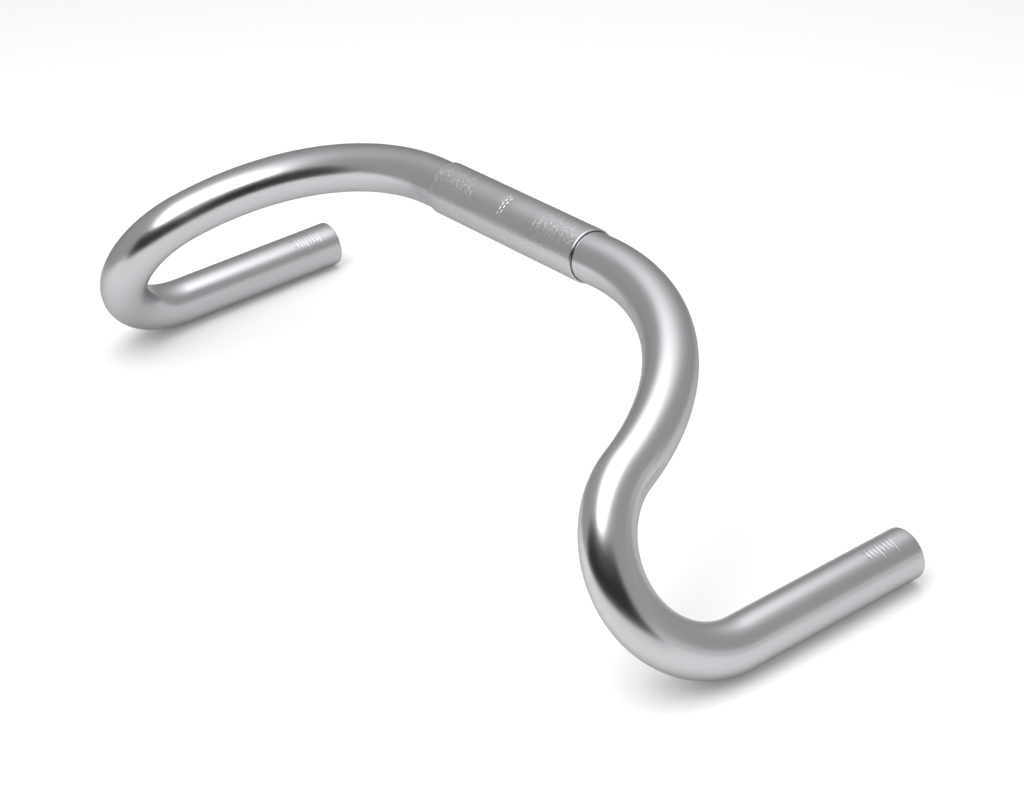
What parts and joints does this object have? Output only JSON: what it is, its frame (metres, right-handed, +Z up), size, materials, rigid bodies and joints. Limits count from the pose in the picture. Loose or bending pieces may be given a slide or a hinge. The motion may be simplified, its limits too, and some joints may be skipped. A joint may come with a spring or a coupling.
{
  "type": "drop handlebar",
  "caption": "Track-style drop handlebar: one bent aluminium tube, sweeping forward into round hooks and straight drops, with a sleeve over its middle for the stem.",
  "frame": {"origin": "centre of the sleeve, on the tube's centreline, where the stem's clamp is centred", "axes": "+X along the sleeve towards the rider's left, -Y forward to the hooks, +Y back to the open ends, +Z up; both drops lie level along Y"},
  "size_m": [0.463, 0.1505, 0.1206],
  "materials": {
    "tube_metal": "semi-bright anodised aluminium, finely polished along the tube",
    "sleeve_metal": "satin anodised aluminium with fine grip lines along its middle and engraved hatching near its ends"
  },
  "bodies": {
    "root": {"bar_tube": "tube_metal", "centre_sleeve": "sleeve_metal"}
  },
  "joints": []
}
